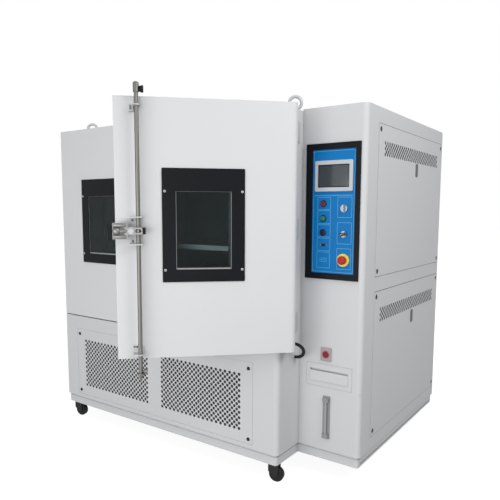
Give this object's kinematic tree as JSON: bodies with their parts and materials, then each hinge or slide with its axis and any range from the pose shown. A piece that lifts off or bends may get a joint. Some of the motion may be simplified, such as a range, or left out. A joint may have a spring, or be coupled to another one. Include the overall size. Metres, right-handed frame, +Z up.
{
  "type": "environmental test chamber",
  "caption": "Free-standing climatic test chamber on casters: two insulated windowed doors with a lock rod, perforated base panel and a side control cabinet with a touch screen.",
  "frame": {"origin": "on the floor, under the middle of the whole with its right door standing open", "axes": "+X to the right along the front, +Y to the back, +Z up"},
  "size_m": [1.958, 1.9694, 1.869],
  "materials": {
    "painted_shell": "satin powder coat, pale grey white",
    "painted_door": "satin powder coat, pale grey white",
    "stainless": "brushed stainless",
    "bright_steel": "polished, lightly worn",
    "zinc_steel": "zinc plated",
    "black_trim": "satin black",
    "black_rubber": "matt black",
    "silicone": "pale grey silicone",
    "window_glass": "coated clear glass",
    "blue_fascia": "satin blue",
    "grey_plastic": "light grey moulding",
    "screen": "dark glossy display",
    "red_plastic": "red",
    "green_plastic": "green",
    "dark_plastic": "near black",
    "yellow_plastic": "yellow",
    "clear_tube": "clear tube",
    "dark_iron": "satin black enamel",
    "copper_fin": "bare fins",
    "wheel": "matt black polyurethane",
    "conduit": "black ribbed nylon"
  },
  "bodies": {
    "chassis": {"air_baffle": "stainless", "base_housing": "painted_shell", "compressor": "dark_iron", "condenser": "copper_fin", "control_cabinet": "painted_shell", "control_fascia": "blue_fascia", "control_frame": "black_trim", "door_conduit": "conduit", "emergency_stop_collar": "yellow_plastic", "front_access_panel": "painted_shell", "gauge_tube": "clear_tube", "hinge_carcass_leaves": "zinc_steel", "indicator_lens": "red_plastic", "indicator_plate": "zinc_steel", "inner_liner": "stainless", "insulated_carcass": "painted_shell", "keeper_cup": "zinc_steel", "level_gauge": "grey_plastic", "lifting_eyebolts": "zinc_steel", "lower_side_panel": "painted_shell", "plinth": "painted_shell", "screen_bezel": "grey_plastic", "shelf_ladders": "stainless", "slatted_shelf": "stainless", "touch_screen": "screen", "upper_side_panel": "painted_shell"},
    "left_door": {"left_door_slab": "painted_door", "left_door_pan": "stainless", "left_door_gasket": "silicone", "left_window_frame": "black_trim", "left_window_panes": "window_glass", "left_hinge_door_leaves": "zinc_steel"},
    "right_door": {"right_door_slab": "painted_door", "right_door_pan": "stainless", "right_door_gasket": "silicone", "right_window_frame": "black_trim", "right_window_panes": "window_glass", "right_hinge_door_leaves": "zinc_steel", "rod_guides": "stainless", "lever_bracket": "stainless"},
    "lock_rod": {"lock_rod": "bright_steel"},
    "lock_lever": {"lock_lever": "bright_steel", "lever_grip": "black_trim"},
    "stop_button": {"stop_button": "red_plastic"},
    "start_button": {"start_button": "green_plastic"},
    "light_button": {"light_button": "dark_plastic"},
    "selector_knob": {"selector_knob": "bright_steel"},
    "key_switch": {"key_switch": "bright_steel"},
    "emergency_stop_head": {"emergency_stop_head": "red_plastic"},
    "water_drawer": {"water_drawer": "painted_shell"},
    "circulation_fan": {"circulation_fan": "stainless"},
    "front_left_fork": {"front_left_caster_fork": "dark_iron"},
    "front_left_wheel": {"front_left_caster_wheel": "wheel"},
    "front_right_fork": {"front_right_caster_fork": "dark_iron"},
    "front_right_wheel": {"front_right_caster_wheel": "wheel"},
    "back_left_fork": {"back_left_caster_fork": "dark_iron"},
    "back_left_wheel": {"back_left_caster_wheel": "wheel"},
    "back_right_fork": {"back_right_caster_fork": "dark_iron"},
    "back_right_wheel": {"back_right_caster_wheel": "wheel"}
  },
  "joints": [
    {"name": "left_door_swing", "type": "hinge", "parent": "chassis", "child": "left_door", "pos_m": [-0.97, -0.26867, 1.229], "axis": [0, 0, 1], "range_deg": [-105, 0]},
    {"name": "right_door_swing", "type": "hinge", "parent": "chassis", "child": "right_door", "pos_m": [0.668, -0.26867, 1.229], "axis": [0, 0, 1], "range_deg": [-44.36, 55], "deforming": ["door_conduit"]},
    {"name": "lock_lever_turn", "type": "hinge", "parent": "right_door", "child": "lock_lever", "pos_m": [0.25208, -0.91178, 1.229], "axis": [-0.6992, 0.715, 0], "range_deg": [0, 34]},
    {"name": "lock_rod_slide", "type": "slide", "parent": "right_door", "child": "lock_rod", "axis": [0, 0, -1], "range_m": [0, 0.02]},
    {"name": "selector_turn", "type": "hinge", "parent": "chassis", "child": "selector_knob", "pos_m": [0.875, -0.19067, 1.328], "axis": [0, 1, 0], "range_deg": [-45, 45]},
    {"name": "key_turn", "type": "hinge", "parent": "chassis", "child": "key_switch", "pos_m": [0.875, -0.19067, 1.209], "axis": [0, 1, 0], "range_deg": [0, 90]},
    {"name": "emergency_stop_push", "type": "slide", "parent": "chassis", "child": "emergency_stop_head", "axis": [0, 1, 0], "range_m": [0, 0.004], "stiffness_N_per_m": 900, "springref_m": -0.003},
    {"name": "water_drawer_slide", "type": "slide", "parent": "chassis", "child": "water_drawer", "axis": [0, -1, 0], "range_m": [0, 0.36]},
    {"name": "circulation_fan_spin", "type": "hinge", "parent": "chassis", "child": "circulation_fan", "pos_m": [-0.151, 0.78333, 1.376], "axis": [0, 1, 0], "continuous": true},
    {"name": "stop_button_push", "type": "slide", "parent": "chassis", "child": "stop_button", "axis": [0, 1, 0], "range_m": [0, 0.004], "stiffness_N_per_m": 400, "springref_m": -0.002},
    {"name": "start_button_push", "type": "slide", "parent": "chassis", "child": "start_button", "axis": [0, 1, 0], "range_m": [0, 0.004], "stiffness_N_per_m": 400, "springref_m": -0.002},
    {"name": "light_button_push", "type": "slide", "parent": "chassis", "child": "light_button", "axis": [0, 1, 0], "range_m": [0, 0.004], "stiffness_N_per_m": 400, "springref_m": -0.002},
    {"name": "front_left_caster_swivel", "type": "hinge", "parent": "chassis", "child": "front_left_fork", "pos_m": [-0.893, -0.33667, 0.08], "axis": [0, 0, 1], "continuous": true},
    {"name": "front_left_caster_roll", "type": "hinge", "parent": "front_left_fork", "child": "front_left_wheel", "pos_m": [-0.87148, -0.3321, 0.0375], "axis": [0.2079, -0.9781, 0], "continuous": true},
    {"name": "front_right_caster_swivel", "type": "hinge", "parent": "chassis", "child": "front_right_fork", "pos_m": [0.595, -0.33667, 0.08], "axis": [0, 0, 1], "continuous": true},
    {"name": "front_right_caster_roll", "type": "hinge", "parent": "front_right_fork", "child": "front_right_wheel", "pos_m": [0.61652, -0.3321, 0.0375], "axis": [0.2079, -0.9781, 0], "continuous": true},
    {"name": "back_left_caster_swivel", "type": "hinge", "parent": "chassis", "child": "back_left_fork", "pos_m": [-0.821, 0.89533, 0.08], "axis": [0, 0, 1], "continuous": true},
    {"name": "back_left_caster_roll", "type": "hinge", "parent": "back_left_fork", "child": "back_left_wheel", "pos_m": [-0.821, 0.91733, 0.0375], "axis": [1, 0, 0], "continuous": true},
    {"name": "back_right_caster_swivel", "type": "hinge", "parent": "chassis", "child": "back_right_fork", "pos_m": [0.847, 0.89533, 0.08], "axis": [0, 0, 1], "continuous": true},
    {"name": "back_right_caster_roll", "type": "hinge", "parent": "back_right_fork", "child": "back_right_wheel", "pos_m": [0.86605, 0.90633, 0.0375], "axis": [0.5, -0.866, 0], "continuous": true}
  ],
  "couplings": [
    {"joint": "lock_rod_slide", "follows": "lock_lever_turn", "m_per_rad": 0.0331}
  ]
}
